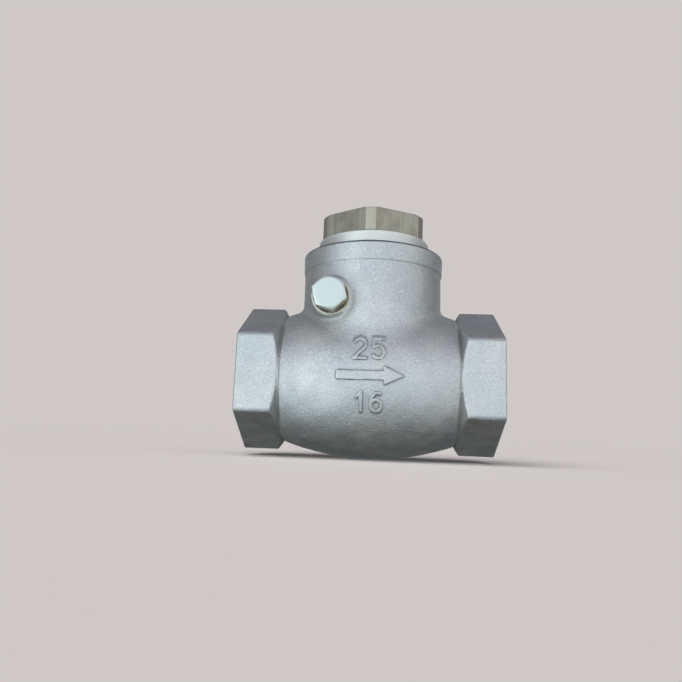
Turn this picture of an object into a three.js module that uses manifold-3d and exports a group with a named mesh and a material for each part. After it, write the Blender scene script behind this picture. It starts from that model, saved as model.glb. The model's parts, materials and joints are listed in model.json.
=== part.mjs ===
// Swing check valve for a 1 inch (DN 25) pipe: a cast brass body with two hexagonal female ends,
// a screwed cap on its neck, and a hinged disc inside that the flow pushes open one way only.
// Millimetres. +X is the flow direction, +Z points up the neck. The origin is where the pipe's
// axis crosses the neck's axis.
import * as THREE from "three";
import { mergeVertices } from "three/addons/utils/BufferGeometryUtils.js";
import Module from "manifold-3d";

const wasm = await Module();
wasm.setup();

const degrees = THREE.MathUtils.degToRad;

// ---- driving dimensions: general -------------------------------------------------------------
const LENGTH = 75; // face to face
const CHAMFER_SLOPE = Math.tan(degrees(30)); // turned chamfers on hexagons
const FIT = 0.3; // radial clearance in a bore
const TOUCH = 0.1; // clearance between stacked faces
const WASHER_THICKNESS = 0.8;
const FACETS = 48; // round a casting
const FINE = 24; // round a small turned piece

// ---- driving dimensions: body ----------------------------------------------------------------
const END_FLATS = 38; // wrench size of both ends
const END_LENGTH = 12.3; // of an end along X, at the middle of a flat
const BELLY_RADIUS = 23.6; // of the barrel at its middle
const BELLY_ARC = 75; // radius of the barrel's outline along X
const BELLY_HALF = 25.6;
const NECK_RADIUS = 21.2;
const COLLAR_RADIUS = 21.6;
const COLLAR_BOTTOM = 32.4;
const COLLAR_CHAMFER = 0.4;
const NECK_TOP = 38;

const SOCKET_RADIUS = 15.2; // minor radius of the 1 inch pipe thread
const SOCKET_DEPTH = 15.5;
const MOUTH_RADIUS = 16.9; // countersink at each socket's mouth
const INLET_PORT = 11.2;
const OUTLET_PORT = 12.5;
const WALL = 2.8;
const CHAMBER_FRONT = -16; // wall that carries the seat
const CHAMBER_SHOULDER = 16; // where the chamber starts to close in
const CHAMBER_BACK = 20;
const CHAMBER_BACK_RADIUS = 15.6;
const NECK_BORE = 17.4;
const NECK_BORE_BOTTOM = 14;
const CAP_BORE = 14.2; // minor radius of the cap's thread
const CAP_BORE_BOTTOM = 30;

const ARROW_TAIL = -9.4;
const ARROW_BARB = 4.2; // where the head starts
const ARROW_TIP = 9.9;
const ARROW_HEIGHT = -0.65;
const ARROW_SHAFT = 1.35; // half widths
const ARROW_HEAD = 2.8;
const ARROW_RAISE = 0.5;

// ---- driving dimensions: hinge ---------------------------------------------------------------
const PIN_X = -11.4;
const PIN_Z = 21.7;
const PIN_RADIUS = 1.9;
const PIN_FRONT = -14;
const PIN_REAR = 15.2;
const PIN_CHAMFER = 0.4;
const BOSS_RADIUS = 6; // round pad under the hinge plug
const BOSS_FACE = 20.3; // distance of its face from the XZ plane
const REAR_BOSS_RADIUS = 4.6;
const REAR_BOSS_FACE = 18.6;
const BOSS_ROOT = 12; // how far in both pads start
const LUG_RADIUS = 4.2; // inner lugs that carry the pin
const LUG_INNER = 7.2;
const LUG_OUTER = 15;

const PLUG_FLATS = 9;
const PLUG_HEAD = 4;
const PLUG_CROWN = 4.15; // radius where the chamfer meets the face
const PLUG_TURN = degrees(-13);
const PLUG_WASHER_RADIUS = 4.9;
const PLUG_HOLE = 3.9;
const PLUG_HOLE_DEPTH = 6.4;

// ---- driving dimensions: cap -----------------------------------------------------------------
const GASKET_THICKNESS = 1.2;
const CAP_FLANGE_TOP = 42.4;
const CAP_FLANGE_RADIUS = 17.2;
const CAP_TOP = 49.7;
const CAP_FLATS = 30.5;
const CAP_CORNERS = 17.1; // radius that the corners are rounded to
const CAP_CROWN = 16.3; // radius where the chamfer meets the top
const CAP_TURN = degrees(-2.6); // where the hexagon stops when the cap is tight
const CAP_SKIRT_BOTTOM = 31;
const CAP_RECESS = 10.6;
const CAP_RECESS_TOP = 41.7;

// ---- driving dimensions: flap, in its own frame with the pin at the origin and the disc below ---
const SEAT_TILT = degrees(6); // the seat leans back, so the disc falls shut
const SEAT_FACE = -4.5; // ahead of the pin
const SEAT_RADIUS = 12.8;
const SEAT_LIP = 6;
const HUB_RADIUS = 4;
const HUB_HALF = 6.8;
const ARM_FRONT = 0.9;
const ARM_BACK = 4.1;
const ARM_WIDTH = 7;
const EYE_RADIUS = 5.4;
const STUD_RADIUS = 2.4;
const STUD_END = 9.2;
const STUD_CHAMFER = 0.5;
const DISC_RADIUS = 13.8;
const DISC_FRONT = -2.3;
const DISC_BACK = 0.3;
const DISC_RIM = -3.6; // front edge of the rim round the facing
const DISC_CHAMFER = 0.6;
const SEAL_RADIUS = 13.1;
const RETAINER_RADIUS = 7;
const RETAINER_THICKNESS = 1;
const SCREW_RADIUS = 1.5;
const SCREW_TIP = -0.7;
const SCREW_HEAD_RADIUS = 3;
const SCREW_HEAD = 1.6;
const SCREW_SLOT = 0.8;
const NUT_FLATS = 8;
const NUT_HEIGHT = 3;

// The stud hangs this far below the pin, so that the seat is centred on the pipe's axis.
const ARM_LENGTH = (PIN_Z + SEAT_FACE * Math.sin(SEAT_TILT)) / Math.cos(SEAT_TILT);

// ---- solids ----------------------------------------------------------------------------------

/** A closed geometry as a manifold solid. */
function toSolid(geometry) {
  const plain = new THREE.BufferGeometry();
  const source = geometry.index ? geometry.toNonIndexed() : geometry;
  plain.setAttribute("position", source.getAttribute("position"));
  const merged = mergeVertices(plain, 1e-4);
  const mesh = new wasm.Mesh({
    numProp: 3,
    vertProperties: merged.attributes.position.array,
    triVerts: new Uint32Array(merged.index.array),
  });
  return new wasm.Manifold(mesh);
}

/** A manifold solid as a three.js geometry. */
function toGeometry(solid) {
  const mesh = solid.getMesh();
  const geometry = new THREE.BufferGeometry();
  geometry.setAttribute("position", new THREE.BufferAttribute(mesh.vertProperties, 3));
  geometry.setIndex(new THREE.BufferAttribute(mesh.triVerts, 1));
  geometry.computeVertexNormals();
  return geometry;
}

const unite = (...solids) => solids.reduce((sum, solid) => sum.add(solid));
const cut = (solid, ...tools) => tools.reduce((rest, tool) => rest.subtract(tool), solid);

/** Turns that lay a solid made about +Y along another axis. */
const AXIS_TURNS = {
  x: new THREE.Matrix4().makeRotationZ(-Math.PI / 2),
  y: new THREE.Matrix4(),
  z: new THREE.Matrix4().makeRotationX(Math.PI / 2),
};

/** Revolves an outline of [radius, distance along the axis] points about an axis. */
function turned(outline, axis, facets = FACETS) {
  const points = outline.map(([radius, along]) => new THREE.Vector2(radius, along));
  const isRing = points[0].x > 0;
  if (THREE.ShapeUtils.area(points) < 0) points.reverse();
  if (isRing) points.push(points[0].clone());
  return toSolid(new THREE.LatheGeometry(points, facets).applyMatrix4(AXIS_TURNS[axis]));
}

/** A round bar from one place to another along an axis. */
function rod(radius, from, to, axis, facets = FACETS) {
  return turned([[0, from], [radius, from], [radius, to], [0, to]], axis, facets);
}

/** A flat ring. */
function ring(inner, outer, from, to, axis, facets = FACETS) {
  return turned([[inner, from], [outer, from], [outer, to], [inner, to]], axis, facets);
}

/** A hexagonal bar. At a turn of 0 it has a corner at +Z, or at -Y when it stands along Z. */
function hexBar(flats, from, to, axis, turn = 0) {
  const radius = flats / Math.sqrt(3);
  const bar = new THREE.CylinderGeometry(radius, radius, to - from, 6, 1);
  bar.translate(0, (from + to) / 2, 0).rotateY(turn);
  return toSolid(bar.applyMatrix4(AXIS_TURNS[axis]));
}

/** A radius just beyond a hexagon's corners. */
const beyondCorners = (flats) => flats / Math.sqrt(3) + 1;

/**
 * The round blank that a hexagon's chamfer is turned on. Its radius is `corner`, it reaches from
 * `base` to `top`, and its chamfer starts at the radius `crown` on the top face.
 */
function chamferBlank(corner, crown, base, top, axis, facets = FACETS) {
  const shoulder = top - Math.sign(top - base) * (corner - crown) * CHAMFER_SLOPE;
  return turned([[0, base], [corner, base], [corner, shoulder], [crown, top], [0, top]], axis, facets);
}

/** An arc of the barrel's curvature: points whose radius falls away from the middle. */
function barrelArc(middleRadius, from, to, steps) {
  return Array.from({ length: steps + 1 }, (_, i) => {
    const along = from + ((to - from) * i) / steps;
    const drop = BELLY_ARC - Math.sqrt(BELLY_ARC ** 2 - along ** 2);
    return [middleRadius - drop, along];
  });
}

/** Sets a solid that was made in the flap's own frame where the flap hangs. */
function hang(solid) {
  const place = new THREE.Matrix4().makeRotationY(-SEAT_TILT).setPosition(PIN_X, 0, PIN_Z);
  return solid.transform(place.toArray());
}

// ---- body ------------------------------------------------------------------------------------

/** One hexagonal end, chamfered on the side that faces the belly. */
function hexEnd(side) {
  const outer = (side * LENGTH) / 2;
  const inner = outer - side * END_LENGTH;
  const bar = hexBar(END_FLATS, Math.min(outer, inner), Math.max(outer, inner), "x");
  return bar.intersect(chamferBlank(beyondCorners(END_FLATS), END_FLATS / 2, outer + side, inner, "x"));
}

/** The round pads on the neck at both ends of the hinge pin. */
function hingeBosses() {
  const front = rod(BOSS_RADIUS, -BOSS_FACE, -BOSS_ROOT, "y", FINE);
  const rear = rod(REAR_BOSS_RADIUS, BOSS_ROOT, REAR_BOSS_FACE, "y", FINE);
  return front.add(rear).translate([PIN_X, 0, PIN_Z]);
}

/** The raised arrow on the front of the belly, which shows the flow direction. */
function flowArrow() {
  const outline = new THREE.Shape();
  outline.moveTo(ARROW_TAIL, -ARROW_SHAFT);
  outline.lineTo(ARROW_BARB, -ARROW_SHAFT);
  outline.lineTo(ARROW_BARB, -ARROW_HEAD);
  outline.lineTo(ARROW_TIP, 0);
  outline.lineTo(ARROW_BARB, ARROW_HEAD);
  outline.lineTo(ARROW_BARB, ARROW_SHAFT);
  outline.lineTo(ARROW_TAIL, ARROW_SHAFT);
  outline.closePath();
  const root = BELLY_RADIUS - WALL / 2;
  const bar = new THREE.ExtrudeGeometry(outline, { depth: WALL, bevelEnabled: false });
  bar.rotateX(Math.PI / 2).translate(0, -root, ARROW_HEIGHT);
  const reach = ARROW_TIP + 1;
  const crest = barrelArc(BELLY_RADIUS + ARROW_RAISE, -reach, reach, 8);
  const skin = turned([[0, -reach], ...crest, [0, reach]], "x");
  return toSolid(bar).intersect(skin);
}

/** Everything that the casting has on its outside. */
function castOutside() {
  const belly = turned(
    [[0, -BELLY_HALF], ...barrelArc(BELLY_RADIUS, -BELLY_HALF, BELLY_HALF, 14), [0, BELLY_HALF]],
    "x",
  );
  const neck = rod(NECK_RADIUS, 0, COLLAR_BOTTOM + 1, "z");
  const collar = turned(
    [
      [0, COLLAR_BOTTOM],
      [COLLAR_RADIUS, COLLAR_BOTTOM],
      [COLLAR_RADIUS, NECK_TOP - COLLAR_CHAMFER],
      [COLLAR_RADIUS - COLLAR_CHAMFER, NECK_TOP],
      [0, NECK_TOP],
    ],
    "z",
  );
  return unite(belly, neck, collar, hingeBosses(), hexEnd(-1), hexEnd(1), flowArrow());
}

/** The pipe socket at one end: a countersunk mouth and the threaded length. */
function socket(side) {
  const mouth = (side * LENGTH) / 2;
  const root = mouth - side * SOCKET_DEPTH;
  const mouthDepth = MOUTH_RADIUS - SOCKET_RADIUS;
  return turned(
    [
      [0, mouth + side],
      [MOUTH_RADIUS + 1, mouth + side],
      [SOCKET_RADIUS, mouth - side * mouthDepth],
      [SOCKET_RADIUS, root],
      [0, root],
    ],
    "x",
  );
}

/** The barrel-shaped space that the disc swings in, and the bores of the neck. */
function chamber() {
  const barrel = turned(
    [
      [0, CHAMBER_FRONT],
      ...barrelArc(BELLY_RADIUS - WALL, CHAMBER_FRONT, CHAMBER_SHOULDER, 8),
      [CHAMBER_BACK_RADIUS, CHAMBER_BACK],
      [0, CHAMBER_BACK],
    ],
    "x",
  );
  const neckBore = rod(NECK_BORE, NECK_BORE_BOTTOM, CAP_BORE_BOTTOM, "z");
  const capBore = rod(CAP_BORE, CAP_BORE_BOTTOM - 1, NECK_TOP + 1, "z");
  return unite(barrel, neckBore, capBore);
}

/** The two lugs inside the neck that the hinge pin runs through. */
function hingeLugs() {
  const front = rod(LUG_RADIUS, -LUG_OUTER, -LUG_INNER, "y", FINE);
  const rear = rod(LUG_RADIUS, LUG_INNER, LUG_OUTER, "y", FINE);
  const insideNeck = rod(NECK_RADIUS - 1, NECK_BORE_BOTTOM, CAP_BORE_BOTTOM, "z");
  return front.add(rear).translate([PIN_X, 0, PIN_Z]).intersect(insideNeck);
}

/** The lip that the disc closes on. */
function seatLip() {
  const lip = ring(INLET_PORT, SEAT_RADIUS, SEAT_FACE - SEAT_LIP, SEAT_FACE, "x");
  return hang(lip.translate([0, 0, -ARM_LENGTH]));
}

/** The blind hole for the pin, and the wider one in front of it for the plug. */
function hingeHoles() {
  const plugHole = rod(PLUG_HOLE, -BOSS_FACE - 1, -BOSS_FACE + PLUG_HOLE_DEPTH, "y", FINE);
  const pinHole = rod(PIN_RADIUS + FIT, -BOSS_FACE, PIN_REAR + FIT, "y", FINE);
  return plugHole.add(pinHole).translate([PIN_X, 0, PIN_Z]);
}

function makeBody() {
  const half = LENGTH / 2;
  const shell = cut(castOutside(), chamber(), rod(OUTLET_PORT, 0, half, "x"));
  const inletPort = rod(INLET_PORT, -half, CHAMBER_FRONT + 1.5, "x");
  return cut(unite(shell, hingeLugs(), seatLip()), inletPort, socket(-1), socket(1), hingeHoles());
}

// ---- cap and hinge plug ----------------------------------------------------------------------

function makeCap() {
  const seat = NECK_TOP + GASKET_THICKNESS;
  const head = hexBar(CAP_FLATS, seat, CAP_TOP, "z", CAP_TURN).intersect(
    chamferBlank(CAP_CORNERS, CAP_CROWN, seat, CAP_TOP, "z"),
  );
  const flange = rod(CAP_FLANGE_RADIUS, seat, CAP_FLANGE_TOP, "z");
  const skirt = rod(CAP_BORE - FIT, CAP_SKIRT_BOTTOM, seat + 1, "z");
  return cut(unite(head, flange, skirt), rod(CAP_RECESS, CAP_SKIRT_BOTTOM - 1, CAP_RECESS_TOP, "z"));
}

function makeCapGasket() {
  return ring(CAP_BORE, CAP_FLANGE_RADIUS - 0.2, NECK_TOP, NECK_TOP + GASKET_THICKNESS - TOUCH, "z");
}

/** The plug, its washer and the pin are made about Y, with the pin's axis through the origin. */
function makePlug() {
  const seat = -BOSS_FACE - WASHER_THICKNESS;
  const face = seat - PLUG_HEAD;
  const head = hexBar(PLUG_FLATS, face, seat, "y", PLUG_TURN).intersect(
    chamferBlank(beyondCorners(PLUG_FLATS), PLUG_CROWN, seat, face, "y", FINE),
  );
  return head.add(rod(PLUG_HOLE - FIT, seat - 1, -BOSS_FACE + PLUG_HOLE_DEPTH - FIT, "y", FINE));
}

function makePlugWasher() {
  return ring(PLUG_HOLE, PLUG_WASHER_RADIUS, -BOSS_FACE - WASHER_THICKNESS + TOUCH, -BOSS_FACE, "y", FINE);
}

function makePin() {
  return turned(
    [
      [0, PIN_FRONT],
      [PIN_RADIUS - PIN_CHAMFER, PIN_FRONT],
      [PIN_RADIUS, PIN_FRONT + PIN_CHAMFER],
      [PIN_RADIUS, PIN_REAR - PIN_CHAMFER],
      [PIN_RADIUS - PIN_CHAMFER, PIN_REAR],
      [0, PIN_REAR],
    ],
    "y",
    FINE,
  );
}

// ---- flap ------------------------------------------------------------------------------------

function makeArm() {
  const hub = rod(HUB_RADIUS, -HUB_HALF, HUB_HALF, "y", FINE);
  const thickness = ARM_BACK - ARM_FRONT;
  const blade = new THREE.BoxGeometry(thickness, ARM_WIDTH, ARM_LENGTH);
  blade.translate(ARM_FRONT + thickness / 2, 0, -ARM_LENGTH / 2);
  const eye = rod(EYE_RADIUS, ARM_FRONT, ARM_BACK, "x", FINE).translate([0, 0, -ARM_LENGTH]);
  const hole = rod(STUD_RADIUS + FIT, ARM_FRONT - 1, ARM_BACK + 1, "x", FINE);
  const studHole = hole.translate([0, 0, -ARM_LENGTH]);
  const pinHole = rod(PIN_RADIUS + FIT, -HUB_HALF - 1, HUB_HALF + 1, "y", FINE);
  return cut(unite(hub, toSolid(blade), eye), studHole, pinHole);
}

/** The disc and the pieces on its stud are made about X, with the stud's axis through the origin. */
function makeDisc() {
  const screwHole = SCREW_RADIUS + FIT;
  const recess = SEAL_RADIUS + 0.2;
  return turned(
    [
      [0, SCREW_TIP + FIT],
      [screwHole, SCREW_TIP + FIT],
      [screwHole, DISC_FRONT],
      [recess, DISC_FRONT],
      [recess, DISC_RIM],
      [DISC_RADIUS, DISC_RIM],
      [DISC_RADIUS, DISC_BACK - DISC_CHAMFER],
      [DISC_RADIUS - DISC_CHAMFER, DISC_BACK],
      [STUD_RADIUS, DISC_BACK],
      [STUD_RADIUS, STUD_END - STUD_CHAMFER],
      [STUD_RADIUS - STUD_CHAMFER, STUD_END],
      [0, STUD_END],
    ],
    "x",
  );
}

function makeSeal() {
  return ring(SCREW_RADIUS + 1, SEAL_RADIUS, SEAT_FACE + TOUCH, DISC_FRONT - TOUCH, "x");
}

function makeRetainer() {
  const front = SEAT_FACE - RETAINER_THICKNESS;
  return ring(SCREW_RADIUS + FIT, RETAINER_RADIUS, front, SEAT_FACE, "x");
}

function makeScrew() {
  const neck = SEAT_FACE - RETAINER_THICKNESS - TOUCH;
  const face = neck - SCREW_HEAD;
  const head = rod(SCREW_HEAD_RADIUS, face, neck, "x", FINE);
  const shank = rod(SCREW_RADIUS, face + SCREW_HEAD / 2, SCREW_TIP, "x", FINE);
  const slot = new THREE.BoxGeometry(SCREW_HEAD, SCREW_SLOT, 3 * SCREW_HEAD_RADIUS).translate(face, 0, 0);
  return head.add(shank).subtract(toSolid(slot));
}

function makeDiscWasher() {
  const front = ARM_BACK + TOUCH;
  return ring(STUD_RADIUS + FIT, NUT_FLATS / 2 + 1, front, front + WASHER_THICKNESS, "x", FINE);
}

function makeNut() {
  const front = ARM_BACK + WASHER_THICKNESS + 2 * TOUCH;
  const back = front + NUT_HEIGHT;
  const blank = hexBar(NUT_FLATS, front, back, "x").intersect(
    chamferBlank(beyondCorners(NUT_FLATS), NUT_FLATS / 2, front, back, "x", FINE),
  );
  return blank.subtract(rod(STUD_RADIUS + FIT, front - 1, back + 1, "x", FINE));
}

// ---- materials and assembly ------------------------------------------------------------------

const metal = (color, roughness) => new THREE.MeshStandardMaterial({ color, roughness, metalness: 1 });
const castBrass = metal(0xb9bcb2, 0.5);
const machinedBrass = metal(0xc2bb96, 0.35);
const brightBrass = metal(0xd9dccb, 0.3);
const steel = metal(0x9fa3a6, 0.3);
const fibre = new THREE.MeshStandardMaterial({ color: 0x7d6a5b, roughness: 0.8, metalness: 0 });
const rubber = new THREE.MeshStandardMaterial({ color: 0x1d1d1f, roughness: 0.7, metalness: 0 });

/** A named mesh from a solid. */
function piece(name, solid, finish) {
  const mesh = new THREE.Mesh(toGeometry(solid), finish);
  mesh.name = name;
  return mesh;
}

/** A group of pieces at a place. */
function groupAt(place, ...pieces) {
  const group = new THREE.Group();
  group.position.set(...place);
  return group.add(...pieces);
}

const onStud = groupAt(
  [0, 0, -ARM_LENGTH],
  piece("disc", makeDisc(), machinedBrass),
  piece("disc_seal", makeSeal(), rubber),
  piece("seal_retainer", makeRetainer(), machinedBrass),
  piece("retainer_screw", makeScrew(), steel),
  piece("disc_washer", makeDiscWasher(), machinedBrass),
  piece("disc_nut", makeNut(), machinedBrass),
);
const flap = groupAt([PIN_X, 0, PIN_Z], piece("hinge_arm", makeArm(), machinedBrass), onStud);
flap.rotation.y = -SEAT_TILT;

const hinge = groupAt(
  [PIN_X, 0, PIN_Z],
  piece("hinge_plug", makePlug(), brightBrass),
  piece("plug_washer", makePlugWasher(), fibre),
  piece("hinge_pin", makePin(), steel),
);

const valve = new THREE.Group();
valve.add(
  piece("body", makeBody(), castBrass),
  piece("cap", makeCap(), machinedBrass),
  piece("cap_gasket", makeCapGasket(), fibre),
  hinge,
  flap,
);

export default valve;
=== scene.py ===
"""Looks of a brass swing check valve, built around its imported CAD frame.

Blender objects are in metres. The shapes are worked out in millimetres, as signed distances that
are meshed, or as outlines that are turned on a lathe, and MM scales them when a mesh is made.
"""
import json
import math

import bmesh
import bpy
import numpy as np
from mathutils import Matrix, Vector


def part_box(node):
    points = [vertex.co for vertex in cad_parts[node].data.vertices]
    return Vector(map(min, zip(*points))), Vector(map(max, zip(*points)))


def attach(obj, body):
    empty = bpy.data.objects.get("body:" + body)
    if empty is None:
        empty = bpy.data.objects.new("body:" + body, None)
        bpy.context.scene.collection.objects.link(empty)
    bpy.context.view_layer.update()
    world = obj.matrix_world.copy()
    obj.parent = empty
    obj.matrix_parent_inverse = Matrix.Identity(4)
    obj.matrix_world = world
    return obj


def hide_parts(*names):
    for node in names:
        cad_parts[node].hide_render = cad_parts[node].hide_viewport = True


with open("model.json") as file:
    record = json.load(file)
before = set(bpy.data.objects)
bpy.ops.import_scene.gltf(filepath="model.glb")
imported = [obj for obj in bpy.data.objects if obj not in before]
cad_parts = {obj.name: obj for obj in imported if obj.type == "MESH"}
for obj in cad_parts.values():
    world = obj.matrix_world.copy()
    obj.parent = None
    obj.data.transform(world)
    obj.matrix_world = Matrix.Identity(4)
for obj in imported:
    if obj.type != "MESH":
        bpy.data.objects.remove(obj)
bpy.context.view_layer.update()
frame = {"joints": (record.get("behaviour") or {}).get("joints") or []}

MM = 0.001


# ---- sizes, read from the frame ----------------------------------------------

def box_mm(node):
    """Lowest and highest corner of a CAD node, in millimetres."""
    low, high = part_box(node)
    return np.array(low) / MM, np.array(high) / MM


JOINTS = {joint["name"]: joint for joint in frame["joints"]}
BODY_LOW, BODY_HIGH = box_mm("body")
HALF_LENGTH = BODY_HIGH[0]
BELLY_RADIUS = BODY_HIGH[1]
NECK_TOP = BODY_HIGH[2]
ORIGIN = (0, 0, 0)
PIN = np.array(JOINTS["flap_swing"]["pos_m"]) / MM
PIN_AXIS = (PIN[0], 0, PIN[2])  # where the pin's axis crosses the XZ plane
STUD = np.array(JOINTS["disc_spin"]["pos_m"]) / MM
STUD_AXIS = np.array(JOINTS["disc_spin"]["axis"])
SEAT_TILT = math.atan2(STUD_AXIS[2], STUD_AXIS[0])
ARM_LENGTH = float(np.linalg.norm(STUD - PIN))
CAP_LOW, CAP_HIGH = box_mm("cap")
GASKET_LOW, GASKET_HIGH = box_mm("cap_gasket")
PLUG_LOW, PLUG_HIGH = box_mm("hinge_plug")
PLUG_WASHER_LOW, PLUG_WASHER_HIGH = box_mm("plug_washer")
PIN_LOW, PIN_HIGH = box_mm("hinge_pin")

# ---- sizes that the boxes don't give, in millimetres -------------------------
# A crown is the radius at which a turned chamfer starts on an end face.

CHAMFER = math.radians(30)
END_FLATS = 38  # wrench size of both pipe ends
END_LENGTH = 12.3
END_CROWN = 18.3
BELLY_ARC = 75  # radius of the barrel's outline along X
BELLY_END = 25.4
NECK_RADIUS = 21.2
COLLAR_RADIUS = 21.6
COLLAR_BOTTOM = 32.4
COLLAR_CHAMFER = 0.5
COLLAR_INSET = 0.18  # how much the collar starts below its full radius
COLLAR_FLARE = 0.04  # how much it widens per millimetre upwards
BOSS_RADIUS = 5.7  # round pad under the hinge plug
BOSS_FACE = 20.3
REAR_BOSS_RADIUS = 4.6
REAR_BOSS_FACE = 18.6
BOSS_ROOT = 10
WALL = 2.8
WAVE_HEIGHT = 0.035  # of the casting's unevenness

PIPE_PITCH = 25.4 / 11
PIPE_MINOR = 15.2
PIPE_MAJOR = 16.62
PIPE_THREAD = 13.5  # length of each socket's thread
SUNK = 0.12  # how deep a thread's ridge is rooted in its wall
SOCKET_DEPTH = 15.5
MOUTH_RADIUS = 16.9  # of the turned part at a socket's mouth
INLET_PORT = 11.2
OUTLET_PORT = 12.5
CHAMBER_FRONT = -16
CHAMBER_BACK = 20
CHAMBER_BACK_RADIUS = 15.6
NECK_BORE = 17.4
NECK_BORE_BOTTOM = 14
CAP_BORE_BOTTOM = 30
SEAT_FACE = -4.5  # ahead of the pin, along the stud's axis
SEAT_RADIUS = 12.8
SEAT_LIP = 6
SEAT_BORE_END = CHAMBER_FRONT + 8
LUG_RADIUS = 4.2  # inner lugs that carry the pin
LUG_INNER = 7.2
LUG_OUTER = 15
PIN_BORE = 2.2  # in the lugs and in the arm
PIN_END_GAP = 0.3

GASKET_INNER = 14.2
CAP_PITCH = 1.5
CAP_MAJOR = 15.05  # groove of the neck's thread
CAP_MINOR = 14.3  # crest of the neck's thread
CAP_CREST = 14.75
CAP_CORE = 13.9
CAP_THREAD = (30.4, 37.6)
CAP_GAP = 0.1  # above the gasket
CAP_FLANGE_TOP = 42.4
CAP_FLATS = 30.5
CAP_CORNERS = 16.85  # radius that the hexagon's corners are turned to
CAP_CROWN = 16.3
CAP_TURN = math.radians(-2.6)
CAP_RECESS = 10.6
CAP_RECESS_TOP = 41.7

PLUG_FLATS = 9
PLUG_CROWN = 4.1
PLUG_CHAMFER = math.radians(24)
PLUG_TURN = math.radians(-13)
PLUG_HOLE = 3.9
PLUG_HOLE_DEPTH = 6.4
PLUG_PITCH = 1.0
PLUG_CORE = 3.2
PLUG_CREST = 3.75
PLUG_MINOR = 3.4  # crest of the hole's thread
PLUG_THREAD = (14.4, 19.9)

# The flap's sizes along the stud's axis are distances from the pin's axis.
HUB_RADIUS = 4
HUB_HALF = 6.8
ARM_MIDDLE = 2.5
ARM_HALF_THICKNESS = 1.6
ARM_HALF_WIDTH = 3.5
EYE_RADIUS = 5.4
EYE_FRONT = 0.9
EYE_BACK = 4.1
STUD_RADIUS = 2.4
STUD_HOLE = 2.7
STUD_END = 9.2
DISC_RADIUS = 13.8
DISC_FRONT = -2.3
DISC_BACK = 0.3
DISC_RIM_RADIUS = 13.3  # inside of the rim round the facing
DISC_RIM = -3.6
SEAL_RADIUS = 13.1
SEAL_HOLE = 2.5
SEAL_FRONT = -4.4
SEAL_BACK = -2.4
RETAINER_RADIUS = 7
RETAINER_HOLE = 1.8
RETAINER_FRONT = -5.5
RETAINER_BACK = -4.5
SCREW_RADIUS = 1.5
SCREW_TIP = -0.7
SHANK_START = -6  # inside the screw's head
SCREW_HOLE_END = -0.4
SCREW_HEAD_RADIUS = 3
SCREW_TOP = -7.2
SCREW_SEAT = -5.6
SLOT_BOTTOM = -6.4
SLOT_HALF_WIDTH = 0.4
WASHER_RADIUS = 5
WASHER_FRONT = 4.2
WASHER_BACK = 5.0
NUT_FLATS = 8
NUT_CROWN = 4
NUT_FRONT = 5.1
NUT_BACK = 8.1


# ---- camera ------------------------------------------------------------------

# The photograph's viewpoint: close by, a little below the pipe's axis and looking up 9 degrees.
VIEWPOINT = Vector((2.84, -179.59, -16.56)) * MM
FORWARD = Vector((-0.0665, 0.9853, 0.1575))
UPWARD = Vector((-0.0268, -0.1595, 0.9868))
SENSOR_WIDTH = 36
FOCAL_LENGTH = 30.86


def add_camera():
    camera_data = bpy.data.cameras.new("camera")
    camera_data.sensor_width = SENSOR_WIDTH
    camera_data.lens = FOCAL_LENGTH
    camera_data.clip_start = 0.01
    camera = bpy.data.objects.new("camera", camera_data)
    bpy.context.scene.collection.objects.link(camera)
    forward = FORWARD.normalized()
    right = forward.cross(UPWARD).normalized()
    up = right.cross(forward)
    turn = Matrix((right, up, -forward)).transposed().to_4x4()
    camera.matrix_world = Matrix.Translation(VIEWPOINT) @ turn
    bpy.context.scene.camera = camera


add_camera()


# ---- signed distances --------------------------------------------------------
# A distance is negative inside the metal. Each function takes coordinate arrays that broadcast.

def either(a, b, fillet=0.0):
    """Union, with a round fillet where the two surfaces meet."""
    if not fillet:
        return np.minimum(a, b)
    corner = np.hypot(np.maximum(fillet - a, 0), np.maximum(fillet - b, 0))
    return np.maximum(fillet, np.minimum(a, b)) - corner


def both(a, b, round_off=0.0):
    """Intersection, with its edge rounded off."""
    return -either(-a, -b, round_off)


def cylinder(radius, distance_from_axis, along, start, end, round_off=0.0):
    return both(distance_from_axis - radius, np.maximum(start - along, along - end), round_off)


def hexagon(a, b, flats, round_off=0.0):
    """Distance to a hexagon whose corners lie on the b axis."""
    a = np.abs(a)
    b = np.abs(b)
    slanted = a / 2 + b * math.sqrt(0.75)
    mirrored = -a / 2 + b * math.sqrt(0.75)
    half = flats / 2
    return both(both(slanted - half, mirrored - half, round_off), a - half, round_off)


def turned_chamfer(radius, along, crown, end):
    """The cone of a chamfer on an end face. along grows towards the face."""
    return ((radius - crown) * math.tan(CHAMFER) + along - end) * math.cos(CHAMFER)


def segment_distance(u, v, start, end):
    start = np.array(start)
    along = np.array(end) - start
    share = ((u - start[0]) * along[0] + (v - start[1]) * along[1]) / (along @ along)
    share = np.clip(share, 0, 1)
    return np.hypot(u - start[0] - share * along[0], v - start[1] - share * along[1])


# ---- raised marks on the belly -----------------------------------------------

def arc(centre, radii, start, end, steps=10):
    """Points of an elliptical arc, with its angles in degrees."""
    angles = np.radians(np.linspace(start, end, steps + 1))
    return [(centre[0] + radii[0] * math.cos(t), centre[1] + radii[1] * math.sin(t)) for t in angles]


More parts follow.
